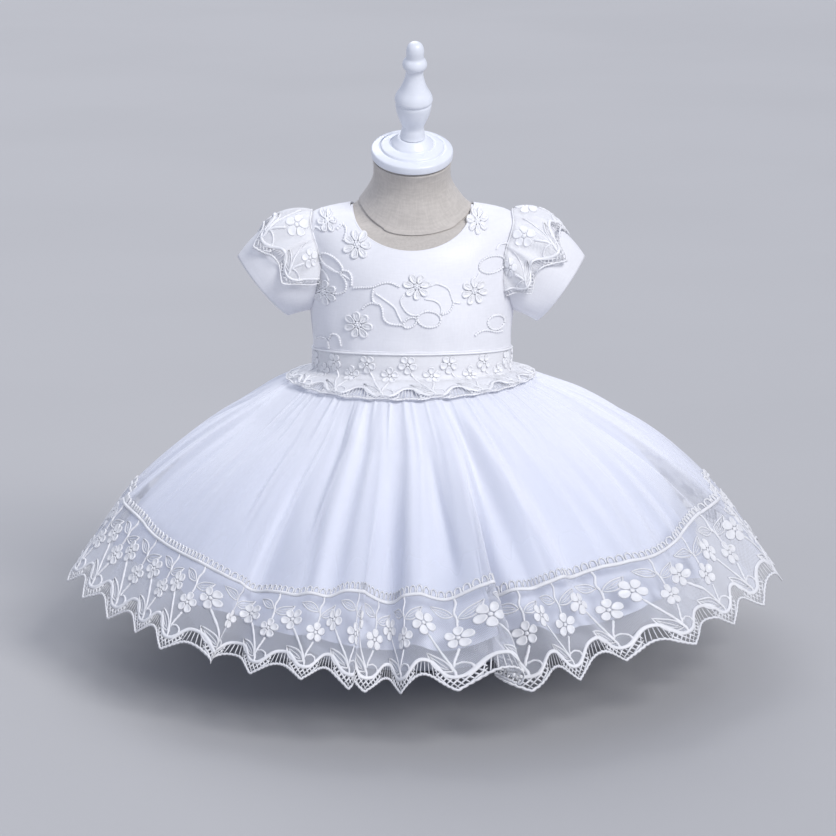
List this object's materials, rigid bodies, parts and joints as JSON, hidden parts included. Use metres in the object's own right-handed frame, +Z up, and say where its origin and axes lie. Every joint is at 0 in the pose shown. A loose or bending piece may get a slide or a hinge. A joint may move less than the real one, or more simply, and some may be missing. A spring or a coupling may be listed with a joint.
{
  "type": "baby party dress on a limbless dress form",
  "caption": "Short-sleeved party dress with a full lace-edged skirt, worn by a small limbless dress form that stands on its own round base.",
  "frame": {"origin": "centre of the base's flat underside, on the surface that the form stands on", "axes": "+Z up, -Y towards the dress's front, +X towards the wearer's left"},
  "size_m": [0.5982, 0.6234, 0.5203],
  "materials": {
    "satin": "soft sheen",
    "lace": "matt, openwork",
    "tulle": "sheer",
    "linen": "matt weave",
    "painted_wood": "white paint, satin",
    "button": "pearly"
  },
  "bodies": {
    "root": {"bodice_front": "satin", "bodice_back_left": "satin", "bodice_back_right": "satin", "back_placket": "satin", "sleeve_left": "satin", "sleeve_right": "satin", "sleeve_lace_left": "lace", "sleeve_lace_right": "lace", "waistband": "satin", "waist_lace": "lace", "skirt_tulle": "tulle", "hem_lace": "lace", "skirt_lining": "satin", "petticoat": "tulle", "form_body": "linen", "form_cap": "painted_wood", "form_finial": "painted_wood", "form_pole": "painted_wood", "form_base": "painted_wood", "button_1": "button", "button_2": "button", "button_3": "button", "button_4": "button"}
  },
  "joints": []
}
